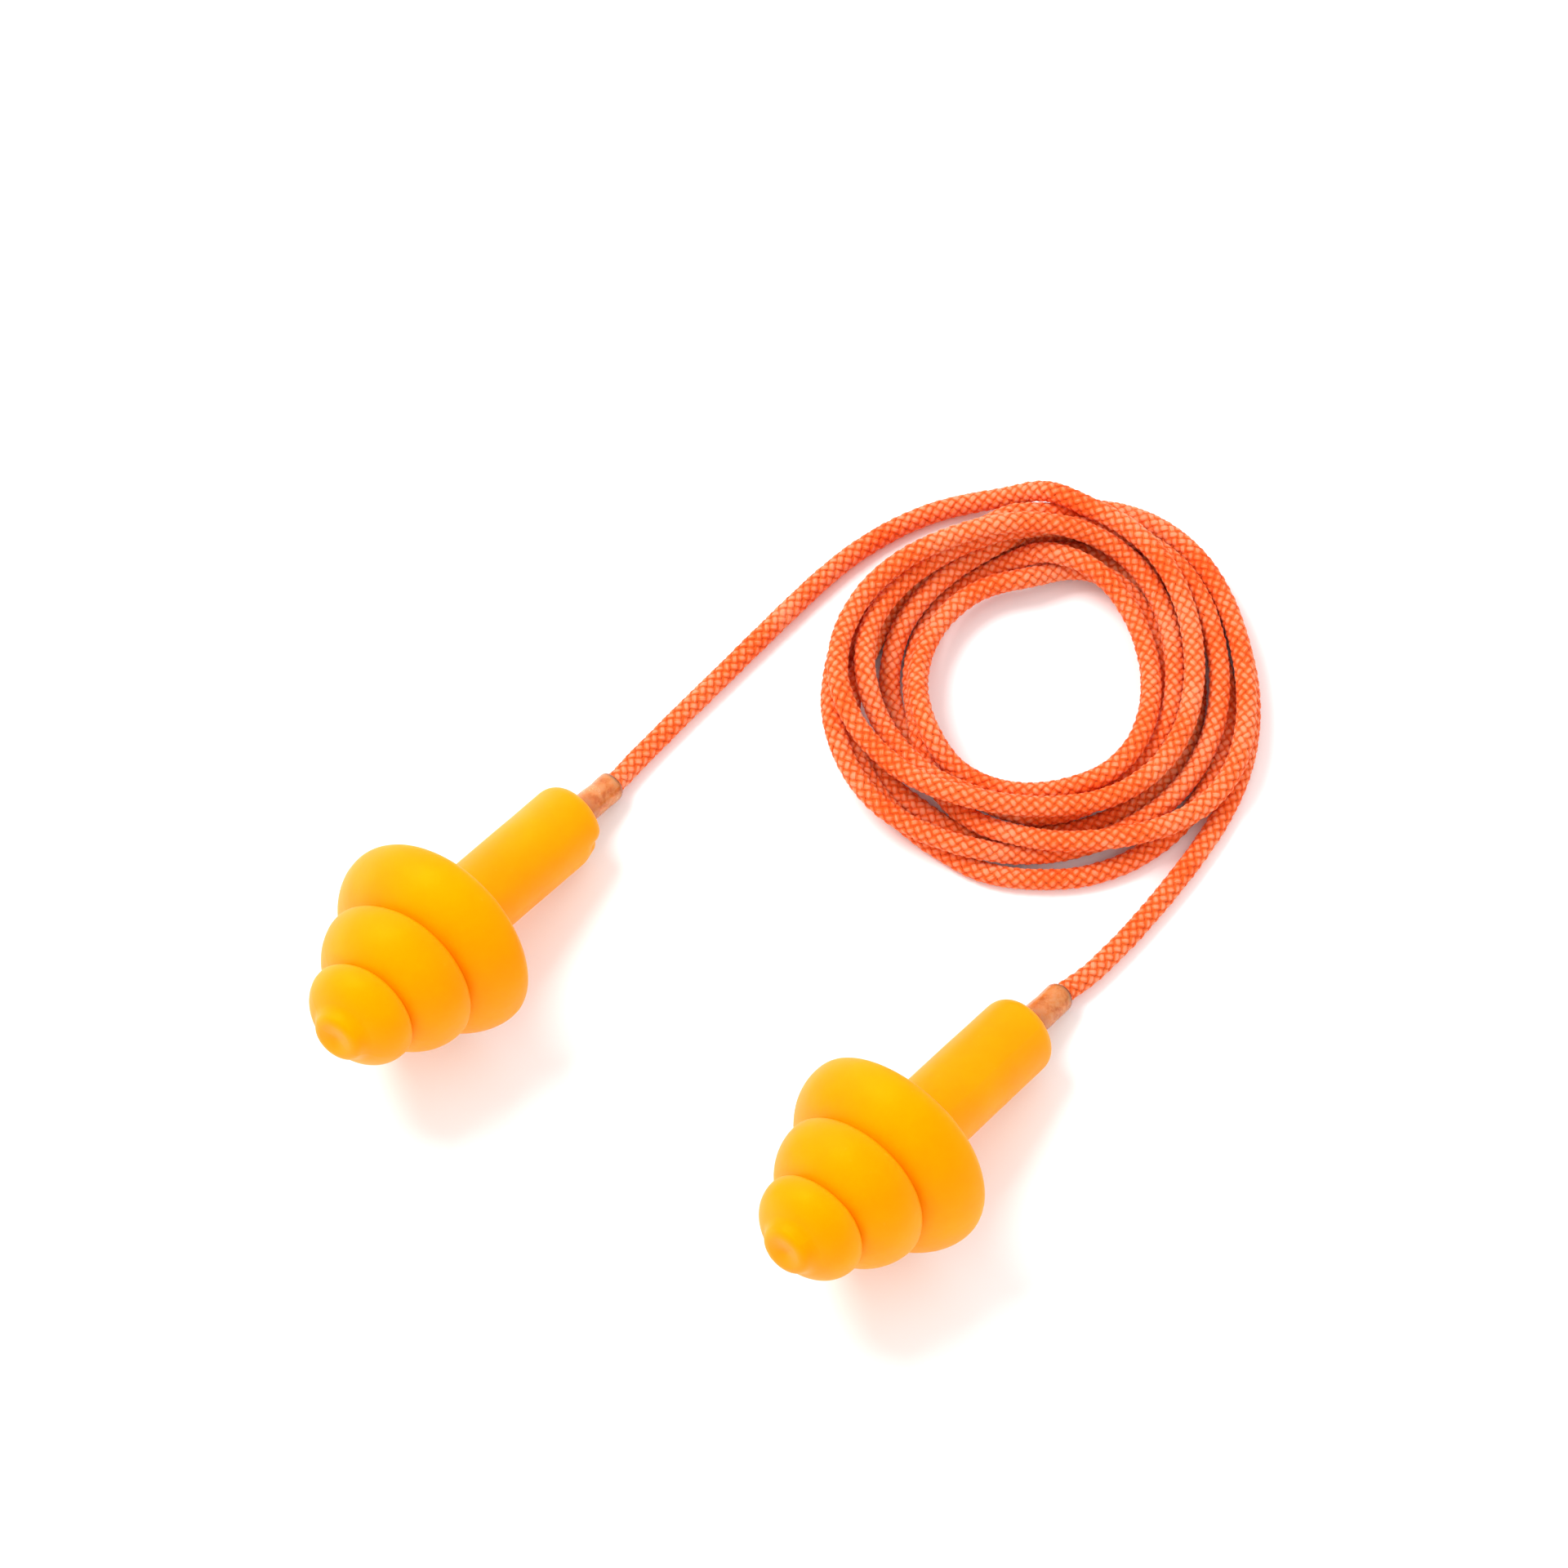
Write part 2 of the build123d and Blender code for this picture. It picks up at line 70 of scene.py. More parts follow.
# cord centre line from the left mouth to the right one: x, y, z
CORD = np.array([
    (-11.087, 7.331, 1.002), (-9.981, 8.723, 0.749), (-8.813, 10.092, 0.674), (-7.615, 11.437, 0.656),
    (-6.407, 12.774, 0.652), (-5.193, 14.104, 0.650), (-3.977, 15.433, 0.650), (-2.764, 16.764, 0.650),
    (-1.551, 18.096, 0.650), (-0.334, 19.424, 0.650), (0.900, 20.736, 0.650), (2.179, 22.004, 0.650),
    (3.530, 23.195, 0.650), (4.970, 24.276, 0.651), (6.502, 25.221, 0.655), (8.125, 26.000, 0.668),
    (9.832, 26.568, 0.724), (11.590, 26.859, 0.957), (13.287, 26.891, 1.550), (14.856, 26.810, 2.423),
    (16.332, 26.244, 3.266), (17.873, 25.363, 3.534), (19.455, 24.504, 3.582), (20.929, 23.473, 3.553),
    (22.189, 22.192, 3.485), (23.177, 20.695, 3.345), (23.885, 19.056, 3.125), (24.341, 17.331, 2.892),
    (24.544, 15.545, 2.805), (24.516, 13.745, 2.808), (24.255, 11.965, 2.789), (23.710, 10.251, 2.735),
    (22.844, 8.676, 2.709), (21.662, 7.322, 2.729), (20.224, 6.245, 2.810), (18.613, 5.463, 2.970),
    (16.876, 5.031, 3.153), (15.099, 4.835, 3.364), (13.317, 4.821, 3.618), (11.566, 4.921, 4.024),
    (9.820, 5.309, 4.168), (8.187, 6.037, 3.976), (6.682, 6.998, 3.754), (5.367, 8.208, 3.552),
    (4.189, 9.559, 3.673), (3.281, 11.066, 4.040), (2.767, 12.783, 4.072), (2.681, 14.556, 3.797),
    (2.983, 16.317, 3.603), (3.663, 17.980, 3.617), (4.683, 19.444, 3.830), (5.991, 20.654, 4.075),
    (7.492, 21.626, 4.270), (9.121, 22.372, 4.447), (10.823, 22.912, 4.674), (12.575, 23.279, 4.854),
    (14.346, 23.528, 4.667), (16.095, 23.601, 4.250), (17.768, 23.468, 3.604), (19.363, 22.980, 2.935),
    (20.802, 22.052, 2.398), (21.929, 20.683, 2.132), (22.707, 19.067, 2.006), (23.193, 17.336, 1.917),
    (23.412, 15.550, 1.898), (23.395, 13.750, 1.884), (23.111, 11.975, 1.849), (22.488, 10.288, 1.811),
    (21.530, 8.767, 1.763), (20.308, 7.449, 1.688), (18.883, 6.355, 1.595), (17.287, 5.528, 1.635),
    (15.584, 4.995, 1.853), (13.806, 4.913, 2.080), (12.113, 5.317, 2.526), (10.482, 5.911, 2.993),
    (8.868, 6.699, 2.937), (7.455, 7.806, 2.881), (6.352, 9.201, 2.615), (5.430, 10.739, 2.500),
    (4.738, 12.368, 2.809), (4.381, 14.111, 3.049), (4.390, 15.898, 2.874), (4.866, 17.626, 2.784),
    (5.774, 19.176, 2.838), (6.977, 20.511, 2.908), (8.391, 21.622, 2.980), (9.950, 22.510, 3.123),
    (11.611, 23.159, 3.363), (13.342, 23.640, 3.431), (15.081, 23.988, 3.131), (16.806, 24.250, 2.685),
    (18.562, 24.307, 2.300), (20.324, 23.990, 2.164), (21.950, 23.230, 2.223), (23.333, 22.087, 2.314),
    (24.423, 20.659, 2.370), (25.218, 19.045, 2.348), (25.748, 17.330, 2.217), (26.056, 15.562, 2.084),
    (26.117, 13.765, 2.003), (25.943, 11.976, 1.919), (25.494, 10.238, 1.794), (24.740, 8.614, 1.621),
    (23.735, 7.128, 1.491), (22.496, 5.824, 1.427), (21.059, 4.745, 1.355), (19.478, 3.886, 1.281),
    (17.794, 3.260, 1.190), (16.040, 2.871, 1.074), (14.249, 2.699, 1.056), (12.485, 2.655, 1.396),
    (10.761, 2.772, 1.896), (9.032, 3.235, 2.058), (7.383, 3.951, 2.140), (5.849, 4.870, 2.339),
    (4.522, 6.058, 2.585), (3.495, 7.516, 2.805), (2.787, 9.162, 2.962), (2.370, 10.910, 2.968),
    (2.293, 12.692, 2.740), (2.483, 14.446, 2.385), (2.861, 16.190, 2.150), (3.497, 17.871, 2.081),
    (4.410, 19.421, 2.058), (5.579, 20.788, 2.037), (6.953, 21.950, 2.009), (8.474, 22.912, 1.982),
    (10.082, 23.723, 1.964), (11.708, 24.495, 2.007), (13.328, 25.234, 2.249), (15.111, 25.406, 2.317),
    (16.874, 25.581, 1.996), (18.667, 25.709, 1.958), (20.447, 25.466, 1.970), (22.118, 24.805, 1.970),
    (23.600, 23.788, 1.974), (24.850, 22.494, 1.987), (25.838, 20.991, 2.000), (26.590, 19.356, 2.016),
    (27.143, 17.643, 2.032), (27.509, 15.880, 2.038), (27.706, 14.090, 2.037), (27.735, 12.290, 2.041),
    (27.560, 10.498, 2.045), (27.110, 8.757, 2.038), (26.309, 7.149, 1.997), (25.149, 5.777, 1.948),
    (23.713, 4.701, 2.046), (22.100, 3.916, 2.191), (20.407, 3.346, 2.409), (18.646, 3.000, 2.543),
    (16.850, 2.907, 2.512), (15.060, 3.066, 2.402), (13.301, 3.448, 2.384), (11.609, 4.040, 2.270),
    (10.222, 5.105, 1.876), (9.119, 6.481, 1.535), (8.255, 8.043, 1.693), (7.758, 9.733, 2.042),
    (7.531, 11.489, 1.763), (7.370, 13.200, 1.225), (7.348, 14.958, 0.847), (7.618, 16.729, 0.704),
    (8.254, 18.410, 0.668), (9.265, 19.896, 0.671), (10.599, 21.098, 0.721), (12.159, 21.946, 0.972),
    (13.748, 22.384, 1.683), (15.329, 22.522, 2.519), (17.040, 22.072, 2.771), (18.611, 21.207, 2.693),
    (19.884, 19.971, 2.417), (20.851, 18.506, 2.027), (21.508, 16.848, 1.808), (21.851, 15.084, 1.867),
    (21.892, 13.302, 2.108), (21.657, 11.558, 2.480), (21.125, 9.871, 2.803), (20.183, 8.351, 2.934),
    (18.810, 7.204, 2.833), (17.148, 6.573, 2.588), (15.404, 6.336, 2.219), (13.611, 6.366, 2.084),
    (11.859, 6.767, 2.104), (10.255, 7.542, 2.315), (9.001, 8.673, 2.915), (8.152, 10.179, 3.368),
    (7.696, 11.887, 3.093), (7.598, 13.604, 2.567), (7.836, 15.340, 2.165), (8.434, 17.020, 1.936),
    (9.388, 18.535, 1.782), (10.677, 19.783, 1.691), (12.259, 20.623, 1.746), (14.011, 21.016, 1.842),
    (15.681, 21.591, 1.500), (17.438, 21.913, 1.375), (19.173, 21.485, 1.369), (20.622, 20.440, 1.233),
    (21.698, 19.032, 0.937), (22.393, 17.390, 0.722), (22.698, 15.619, 0.668), (22.689, 13.820, 0.655),
    (22.350, 12.054, 0.651), (21.640, 10.403, 0.650), (20.549, 8.975, 0.650), (19.170, 7.821, 0.650),
    (17.587, 6.969, 0.650), (15.857, 6.482, 0.650), (14.061, 6.421, 0.650), (12.293, 6.746, 0.650),
    (10.637, 7.443, 0.650), (9.199, 8.524, 0.650), (7.880, 9.749, 0.650), (6.744, 11.141, 0.650),
    (6.111, 12.820, 0.658), (5.900, 14.601, 0.761), (6.128, 16.356, 1.066), (6.743, 18.009, 1.411),
    (7.728, 19.488, 1.687), (8.956, 20.796, 1.820), (10.340, 21.947, 1.870), (11.848, 22.923, 1.985),
    (13.425, 23.776, 2.008), (14.913, 24.474, 1.288), (16.603, 24.784, 0.784), (18.391, 24.669, 0.681),
    (20.090, 24.085, 0.658), (21.637, 23.167, 0.652), (23.000, 21.993, 0.651), (24.138, 20.599, 0.650),
    (25.072, 19.060, 0.650), (25.800, 17.414, 0.650), (26.312, 15.689, 0.650), (26.568, 13.907, 0.650),
    (26.572, 12.107, 0.650), (26.342, 10.322, 0.650), (25.844, 8.594, 0.650), (25.064, 6.972, 0.650),
    (24.037, 5.494, 0.650), (22.828, 4.161, 0.650), (21.427, 3.032, 0.650), (19.858, 2.151, 0.650),
    (18.165, 1.545, 0.650), (16.392, 1.235, 0.650), (14.593, 1.208, 0.650), (12.801, 1.380, 0.650),
    (11.080, 1.895, 0.650), (9.523, 2.796, 0.650), (8.038, 3.813, 0.711), (6.641, 4.929, 0.922),
    (5.399, 6.184, 1.271), (4.393, 7.640, 1.591), (3.685, 9.273, 1.843), (3.402, 11.038, 2.015),
    (3.541, 12.828, 1.984), (3.968, 14.541, 1.639), (4.536, 16.186, 1.176), (5.209, 17.815, 0.816),
    (6.106, 19.370, 0.695), (7.269, 20.741, 0.663), (8.663, 21.878, 0.657), (10.223, 22.774, 0.650),
    (11.913, 23.382, 0.651), (13.707, 23.381, 0.649), (15.483, 23.203, 0.873), (17.273, 23.336, 0.968),
    (19.011, 22.964, 0.750), (20.595, 22.119, 0.672), (21.975, 20.966, 0.657), (23.091, 19.556, 0.661),
    (23.952, 17.976, 0.659), (24.517, 16.269, 0.652), (24.734, 14.483, 0.650), (24.661, 12.685, 0.650),
    (24.310, 10.920, 0.650), (23.652, 9.247, 0.650), (22.658, 7.749, 0.650), (21.376, 6.489, 0.650),
    (19.864, 5.513, 0.650), (18.224, 4.772, 0.650), (16.482, 4.326, 0.650), (14.690, 4.148, 0.650),
    (12.890, 4.132, 0.650), (11.093, 4.254, 0.650), (9.361, 4.717, 0.650), (7.878, 5.733, 0.650),
    (6.497, 6.888, 0.650), (5.275, 8.209, 0.650), (4.294, 9.717, 0.650), (3.553, 11.358, 0.650),
    (3.062, 13.087, 0.650), (3.004, 14.883, 0.650), (3.297, 16.658, 0.650), (3.885, 18.359, 0.650),
    (4.739, 19.942, 0.650), (5.838, 21.367, 0.650), (7.160, 22.587, 0.650), (8.651, 23.595, 0.650),
    (10.243, 24.437, 0.650), (11.909, 25.120, 0.650), (13.633, 25.642, 0.650), (15.373, 26.105, 0.650),
    (17.160, 26.308, 0.650), (18.960, 26.263, 0.650), (20.725, 25.921, 0.650), (22.392, 25.245, 0.650),
    (23.874, 24.228, 0.650), (25.105, 22.918, 0.650), (26.069, 21.398, 0.650), (26.791, 19.750, 0.650),
    (27.322, 18.029, 0.650), (27.720, 16.273, 0.650), (27.985, 14.492, 0.650), (28.048, 12.693, 0.650),
    (27.903, 10.899, 0.650), (27.556, 9.132, 0.650), (26.994, 7.422, 0.650), (26.256, 5.780, 0.650),
    (25.364, 4.215, 0.650), (24.368, 2.715, 0.650), (23.314, 1.255, 0.650), (22.220, -0.176, 0.650),
    (21.087, -1.577, 0.652), (19.909, -2.939, 0.656), (18.676, -4.252, 0.673), (17.372, -5.490, 0.748),
    (16.015, -6.633, 1.002),
])


# ---------------------------------------------------------------- mesh helpers
def shade_smooth(mesh):
    mesh.polygons.foreach_set("use_smooth", np.ones(len(mesh.polygons), dtype=bool))


def new_mesh(name, verts, faces, smooth=True, uv=None):
    """Mesh object from vertices in mm; uv holds one pair per vertex."""
    mesh = bpy.data.meshes.new(name)
    mesh.from_pydata((np.asarray(verts) * MM).tolist(), [], faces)
    mesh.update()
    if uv is not None:
        layer = mesh.uv_layers.new(name="UVMap")
        corner_vertex = np.empty(len(mesh.loops), dtype=np.int32)
        mesh.loops.foreach_get("vertex_index", corner_vertex)
        layer.data.foreach_set("uv", np.asarray(uv, dtype=np.float32)[corner_vertex].ravel())
    if smooth:
        shade_smooth(mesh)
    ob = bpy.data.objects.new(name, mesh)
    bpy.context.scene.collection.objects.link(ob)
    return ob


def tube_quads(rings, sides, wrap=False):
    """Quads joining successive rings; wrap also joins the last ring to the first."""
    ring = np.arange(rings if wrap else rings - 1)[:, None]
    side = np.arange(sides)
    here, beyond, turn = ring * sides, (ring + 1) % rings * sides, (side + 1) % sides
    return np.stack([here + side, here + turn, beyond + turn, beyond + side], -1).reshape(-1, 4)


def capped_tube(rings, sides):
    first, last = range(sides), range((rings - 1) * sides, rings * sides)
    return tube_quads(rings, sides).tolist() + [list(first)[::-1], list(last)]


def face_outward(mesh):
    bm = bmesh.new()
    bm.from_mesh(mesh)
    bmesh.ops.recalc_face_normals(bm, faces=bm.faces)
    bm.to_mesh(mesh)
    bm.free()


def point_attribute(ob, name, values):
    attribute = ob.data.attributes.new(name, "FLOAT", "POINT")
    attribute.data.foreach_set("value", values.astype(np.float32))


def unit(vector):
    vector = np.asarray(vector, float)
    return vector / np.linalg.norm(vector)


def level_across(axis):
    """Horizontal unit vector at right angles to the axis."""
    return unit(np.cross(axis, (0, 0, 1)))


def spokes(angle, across, third):
    return np.cos(angle)[..., None] * across + np.sin(angle)[..., None] * third


class Noise3:
    """Smooth, repeating lattice noise in 3-D."""

    def __init__(self, seed, size=24):
        self.lattice = np.random.RandomState(seed).uniform(-1, 1, (size, size, size))
        self.size = size

    def __call__(self, points, scale):
        scaled = np.asarray(points) * scale
        cell = np.floor(scaled).astype(int)
        part = scaled - cell
        part = part * part * (3 - 2 * part)
        total = 0
        for corner in np.ndindex(2, 2, 2):
            x, y, z = (part[..., k] if corner[k] else 1 - part[..., k] for k in range(3))
            index = tuple((cell[..., k] + corner[k]) % self.size for k in range(3))
            total = total + x * y * z * self.lattice[index]
        return total


# ---------------------------------------------------------------- shader helpers
MIX_FACTOR, MIX_A, MIX_B, MIX_RESULT = 0, 6, 7, 2   # sockets of a colour Mix node


def feed(node, inputs):
    """Set each input to a value, or link it where a socket is given."""
    for key, value in inputs.items():
        if isinstance(value, bpy.types.NodeSocket):
            node.id_data.links.new(value, node.inputs[key])
        else:
            node.inputs[key].default_value = value


def add_node(tree, kind, inputs={}, **settings):
    node = tree.nodes.new("ShaderNode" + kind)
    for key, value in settings.items():
        setattr(node, key, value)
    feed(node, inputs)
    return node


def new_material(name):
    material = bpy.data.materials.new(name)
    material.use_nodes = True
    return material, material.node_tree, material.node_tree.nodes["Principled BSDF"]


def object_coords(tree):
    return add_node(tree, "TexCoord").outputs["Object"]


def add_mapping(tree, vector, **inputs):
    return add_node(tree, "Mapping", {"Vector": vector, **inputs}).outputs["Vector"]


def add_noise(tree, vector, scale, detail, roughness):
    return add_node(tree, "TexNoise", {"Vector": vector, "Scale": scale, "Detail": detail,
                                       "Roughness": roughness}).outputs["Fac"]


def add_ramp(tree, factor, stops):
    """Colour ramp; each stop is a position and an RGB colour."""
    node = add_node(tree, "ValToRGB", {"Fac": factor})
    elements = node.color_ramp.elements
    while len(elements) < len(stops):
        elements.new(0.5)
    for k, (position, colour) in enumerate(stops):
        elements[k].position = position
        elements[k].color = (*colour, 1)
    return node.outputs["Color"]


def add_range(tree, value, source=(0, 1), target=(0, 1)):
    return add_node(tree, "MapRange", {
        "Value": value, "From Min": source[0], "From Max": source[1],
        "To Min": target[0], "To Max": target[1]}).outputs["Result"]


def add_bump(tree, height, strength, distance):
    return add_node(tree, "Bump", {"Height": height, "Strength": strength,
                                   "Distance": distance})


# ---------------------------------------------------------------- materials
def elastomer(name, seed):
    """Bright moulded elastomer: soft sheen, light scattering, faint mottling."""
    material, tree, surface = new_material(name)
    coords = add_mapping(tree, object_coords(tree), Location=(seed * 0.37, seed * 0.11, 0))
    mottle = add_noise(tree, coords, scale=170.0, detail=3.0, roughness=0.55)
    colour = add_ramp(tree, mottle, [
        (0.30, (0.92, 0.278, 0.0)), (0.55, (0.94, 0.304, 0.0)), (0.78, (0.96, 0.330, 0.0))])
    # fine specks of dust and bloom
    speck_noise = add_noise(tree, coords, scale=2600.0, detail=2.0, roughness=0.6)
    specks = add_ramp(tree, speck_noise, [(0.68, (0, 0, 0)), (0.80, (1, 1, 1))])
    faint = add_node(tree, "Math", {0: specks, 1: 0.10}, operation="MULTIPLY")
    mix = add_node(tree, "Mix", {MIX_FACTOR: faint.outputs["Value"], MIX_A: colour,
                                 MIX_B: (1.0, 0.50, 0.06, 1)}, data_type="RGBA")
    sheen_noise = add_noise(tree, coords, scale=420.0, detail=4.0, roughness=0.6)
    # moulded skin: faint orange peel over a slow waviness
    peel_noise = add_noise(tree, coords, scale=5200.0, detail=3.0, roughness=0.6)
    wave_noise = add_noise(tree, coords, scale=900.0, detail=2.0, roughness=0.5)
    peel = add_bump(tree, peel_noise, strength=0.16, distance=0.00003)
    waviness = add_bump(tree, wave_noise, strength=0.22, distance=0.00012)
    feed(peel, {"Normal": waviness.outputs["Normal"]})
    feed(surface, {
        "Base Color": mix.outputs[MIX_RESULT],
        "Roughness": add_range(tree, sheen_noise, target=(0.38, 0.56)),
        "Specular IOR Level": 0.34,
        "Specular Tint": (1.0, 0.60, 0.0, 1),
        "Subsurface Weight": 0.45,
        "Subsurface Radius": (1.0, 0.42, 0.06),
        "Subsurface Scale": 0.0009,
        "Normal": peel.outputs["Normal"]})
    return material


def yarn(name, base, light, dark, roughness=0.62):
    """Multi-filament yarn; UV x runs along the yarn in mm, y across it."""
    material, tree, surface = new_material(name)
    uv = add_node(tree, "UVMap", uv_map="UVMap").outputs["UV"]
    along = add_mapping(tree, uv, Scale=(0.9, 13.0, 1.0))
    streaks = add_noise(tree, along, scale=1.0, detail=3.0, roughness=0.6)
    blotches = add_noise(tree, object_coords(tree), scale=260.0, detail=2.0, roughness=0.5)
    blend = add_node(tree, "Math", {0: streaks, 1: 0.55}, operation="MULTIPLY_ADD")
    blotch_part = add_node(tree, "Math", {0: blotches, 1: 0.45}, operation="MULTIPLY")
    feed(blend, {2: blotch_part.outputs["Value"]})
    # painted highlight and painted shade: the crowns of the yarns are shifted towards the light colour,
    # their flanks and the crossings underneath towards the dark one
    painted_crown_light = add_node(tree, "Attribute", attribute_name="painted_crown_light").outputs["Fac"]
    painted_highlight_shade = add_range(tree, painted_crown_light, source=(0.35, 1.0), target=(-0.07, 0.20))
    tone = add_node(tree, "Math", {0: blend.outputs["Value"], 1: painted_highlight_shade}, operation="ADD")
    colour = add_ramp(tree, tone.outputs["Value"], [(0.34, dark), (0.50, base), (0.68, light)])
    filaments = add_node(tree, "TexWave", {
        "Vector": add_mapping(tree, uv, Scale=(0.25, 4.2, 1.0)),
        "Scale": 1.0, "Distortion": 1.4, "Detail": 2.0}, bands_direction="Y")
    ridges = add_bump(tree, filaments.outputs["Fac"], strength=0.55, distance=0.000018)
    feed(surface, {
        "Base Color": colour,
        "Roughness": roughness,
        "Specular IOR Level": 0.45,
        "Specular Tint": (1.0, 0.50, 0.28, 1),
        "Sheen Weight": 0.10,
        "Sheen Roughness": 0.38,
        "Sheen Tint": (1.0, 0.62, 0.42, 1),
        "Subsurface Weight": 0.30,
        "Subsurface Radius": (1.0, 0.25, 0.06),
        "Subsurface Scale": 0.00035,
        "Normal": ridges.outputs["Normal"]})
    return material


def clear_vinyl(name):
    """Clear vinyl, yellowed and hazed, darker brown in patches where the rim attribute is high."""
    material, tree, surface = new_material(name)
    haze = add_noise(tree, object_coords(tree), scale=1500.0, detail=4.0, roughness=0.62)
    colour = add_ramp(tree, haze, [
        (0.36, (0.72, 0.20, 0.03)), (0.50, (0.95, 0.36, 0.085)), (0.66, (0.98, 0.48, 0.19))])
    rim = add_node(tree, "Attribute", attribute_name="rim").outputs["Fac"]
    patches = add_range(tree, haze, source=(0.30, 0.60))
    rim_darkening = add_node(tree, "Math", {0: rim, 1: patches}, operation="MULTIPLY")
    mix = add_node(tree, "Mix", {MIX_FACTOR: rim_darkening.outputs["Value"], MIX_A: colour,
                                 MIX_B: (0.20, 0.035, 0.006, 1)}, data_type="RGBA")
    relief = add_bump(tree, haze, strength=0.4, distance=0.00006)
    feed(surface, {
        "Base Color": mix.outputs[MIX_RESULT],
        "Roughness": add_range(tree, haze, target=(0.10, 0.36)),
        "IOR": 1.46,
        "Transmission Weight": 0.55,
        "Subsurface Weight": 0.3,
        "Subsurface Radius": (1.0, 0.45, 0.2),
        "Subsurface Scale": 0.0004,
        "Normal": relief.outputs["Normal"]})
    return material


MAT_PLUG = {side: elastomer("elastomer_" + side, spec["colour_seed"])
            for side, spec in SIDES.items()}
MAT_YARN = yarn("braid_yarn", base=(0.94, 0.126, 0.020), light=(0.92, 0.290, 0.150),
                dark=(0.90, 0.078, 0.004))
MAT_CORE = yarn("core_yarn", base=(0.90, 0.07, 0.003), light=(0.92, 0.10, 0.010),
                dark=(0.85, 0.05, 0.002), roughness=0.75)
MAT_SLEEVE = clear_vinyl("sleeve_vinyl")
MAT_TIP = yarn("melted_yarn", base=(0.35, 0.07, 0.015), light=(0.48, 0.11, 0.03),
               dark=(0.22, 0.04, 0.01), roughness=0.25)

# ---------------------------------------------------------------- plugs
DIMPLE_RADIUS, DIMPLE_STATION = 1.05, -0.42
# Bezier curves from the dimple's rim over the three skirts to the stem, as (station
# along the axis, radius). Each curve starts where the one before it ends.
SKIRT_CURVES = [
    [(-0.42, 1.50), (-0.06, 1.66)],
    [(0.30, 1.82), (0.46, 2.12)],
    [(0.88, 2.95), (1.62, 3.42), (2.35, 3.42)],
    [(2.85, 3.42), (2.85, 2.9)],
    [(2.75, 2.35), (2.2, 1.9)],
    [(2.45, 1.75), (2.75, 1.9)],
    [(3.1, 3.9), (4.83, 4.98), (6.05, 4.98)],
    [(6.6, 4.98), (6.6, 4.4)],
    [(6.5, 3.4), (5.6, 2.6)],
    [(5.95, 2.45), (6.3, 2.6)],
    [(6.75, 5.3), (8.6, 6.55), (9.85, 6.55)],
    [(10.6, 6.55), (10.6, 5.85)],
    [(10.3, 3.9), (8.9, 2.5)],
]
# rims of the skirts: station, radius, size of their fore and aft wave
SKIRT_RIMS = [(2.5, 3.3, 0.05), (6.3, 4.8, 0.07), (10.2, 6.3, 0.09)]
STEM_RADIUS, KNEE_STATION, KNEE_REACH = 2.5, 10.45, 1.3
PLUG_LENGTH, END_ROUND = 23.1, 0.95
SOCKET_RADIUS, SOCKET_DEPTH = 0.98, 5.4
PLUG_SIDES = 144


def bezier(points, count):
    points = [np.array(point, float) for point in points]
    t = np.linspace(0, 1, count)[:, None]
    if len(points) == 4:
        return ((1 - t) ** 3 * points[0] + 3 * (1 - t) ** 2 * t * points[1]
                + 3 * (1 - t) * t * t * points[2] + t ** 3 * points[3])
    return (1 - t) ** 2 * points[0] + 2 * (1 - t) * t * points[1] + t * t * points[2]


def plug_profile():
    """(station, radius) from the middle of the nose to the bottom of the socket."""
    radius = np.linspace(0.02, DIMPLE_RADIUS, 14)
    dimple = 0.17 * np.exp(-(radius / 0.55) ** 2) + 0.05 * (1 - (radius / DIMPLE_RADIUS) ** 2)
    parts = [np.c_[DIMPLE_STATION + dimple, radius]]
    start = (DIMPLE_STATION, DIMPLE_RADIUS)
    for curve in SKIRT_CURVES:
        parts.append(bezier([start] + curve, 26 if len(curve) == 3 else 12)[1:])
        start = curve[-1]
    stem = np.linspace(9.2, PLUG_LENGTH - END_ROUND, 34)
    parts.append(np.c_[stem, np.full_like(stem, STEM_RADIUS)])
    parts.append(bezier([(PLUG_LENGTH - END_ROUND, STEM_RADIUS), (PLUG_LENGTH, STEM_RADIUS),
                         (PLUG_LENGTH, STEM_RADIUS - END_ROUND)], 14)[1:])
    # flat end, rounded lip, then the socket wall and its bottom: depth, radius
    socket = np.array([
        (0, 1.35), (0, 1.15), (0.03, 1.03), (0.12, SOCKET_RADIUS), (0.6, SOCKET_RADIUS),
        (2.5, SOCKET_RADIUS), (SOCKET_DEPTH, SOCKET_RADIUS), (SOCKET_DEPTH + 0.02, 0.5),
        (SOCKET_DEPTH + 0.02, 0.02)])
    parts.append(np.c_[PLUG_LENGTH - socket[:, 0], socket[:, 1]])
    return np.vstack(parts)


def plug_axis(spec, station):
    """Centre, axis and level direction: straight, a short curved knee, straight."""
    nose, head, stem = np.array(spec["nose"]), unit(spec["head"]), unit(spec["stem"])
    knee = nose + head * KNEE_STATION
    t = np.clip((station - (KNEE_STATION - KNEE_REACH)) / (2 * KNEE_REACH), 0, 1)
    if t <= 0:
        return nose + head * station, head, level_across(head)
    if t >= 1:
        return knee + stem * (station - KNEE_STATION), stem, level_across(stem)
    before, after = knee - head * KNEE_REACH, knee + stem * KNEE_REACH
    centre = (1 - t) ** 2 * before + 2 * t * (1 - t) * knee + t * t * after
    across = unit((1 - t) * level_across(head) + t * level_across(stem))
    return centre, unit((1 - t) * head + t * stem), across


def angle_from(angle, middle):
    return (angle - middle + np.pi) % (2 * np.pi) - np.pi


